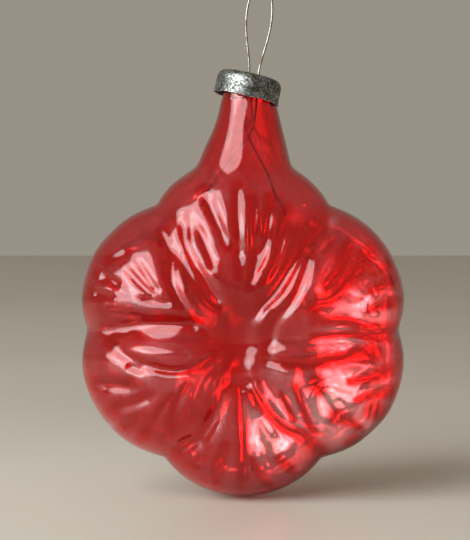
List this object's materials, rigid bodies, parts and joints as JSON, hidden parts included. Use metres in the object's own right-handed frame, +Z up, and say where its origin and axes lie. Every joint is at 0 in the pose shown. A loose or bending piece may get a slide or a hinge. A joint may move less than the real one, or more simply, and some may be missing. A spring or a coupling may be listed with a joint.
{
  "type": "hanging glass flower ornament",
  "caption": "Puffed translucent red glass flower ornament with a short open neck, a crooked pressed tin cap and a crossed-leg wire hanging loop.",
  "frame": {"origin": "inside top of the wire loop, where the ornament hangs", "axes": "+Z up along the glass neck, decorated front faces -Y, +X to the right seen from the front"},
  "size_m": [0.0578, 0.0312, 0.0921],
  "materials": {
    "red_glass": "glossy, transparent red lacquer on clear blown glass, worn thin in places",
    "tin": "tarnished, mottled tinplate",
    "wire": "dull steel wire with rust patches"
  },
  "bodies": {
    "hanger": {"hanger_loop": "wire"},
    "leg_left": {"spring_leg_left": "wire"},
    "leg_right": {"spring_leg_right": "wire"},
    "cap": {"cap": "tin"},
    "glass": {"glass_body": "red_glass"}
  },
  "joints": [
    {"name": "bauble_spin", "type": "hinge", "parent": "hanger", "child": "cap", "pos_m": [-0.00148, 0, -0.01593], "axis": [0.0924, 0, 0.9957], "continuous": true},
    {"name": "glass_pull_off", "type": "slide", "parent": "cap", "child": "glass", "axis": [0, 0, -1], "range_m": [0, 0.024]},
    {"name": "left_leg_squeeze", "type": "hinge", "parent": "hanger", "child": "leg_left", "pos_m": [-0.00249, 0, -0.02688], "axis": [0, -1, 0], "range_deg": [0, 29.5]},
    {"name": "right_leg_squeeze", "type": "hinge", "parent": "hanger", "child": "leg_right", "pos_m": [-0.00249, 0, -0.02688], "axis": [0, 1, 0], "range_deg": [0, 29.5]}
  ],
  "couplings": [
    {"joint": "left_leg_squeeze", "follows": "glass_pull_off", "rad_per_m": 21.084},
    {"joint": "right_leg_squeeze", "follows": "glass_pull_off", "rad_per_m": 21.084}
  ]
}
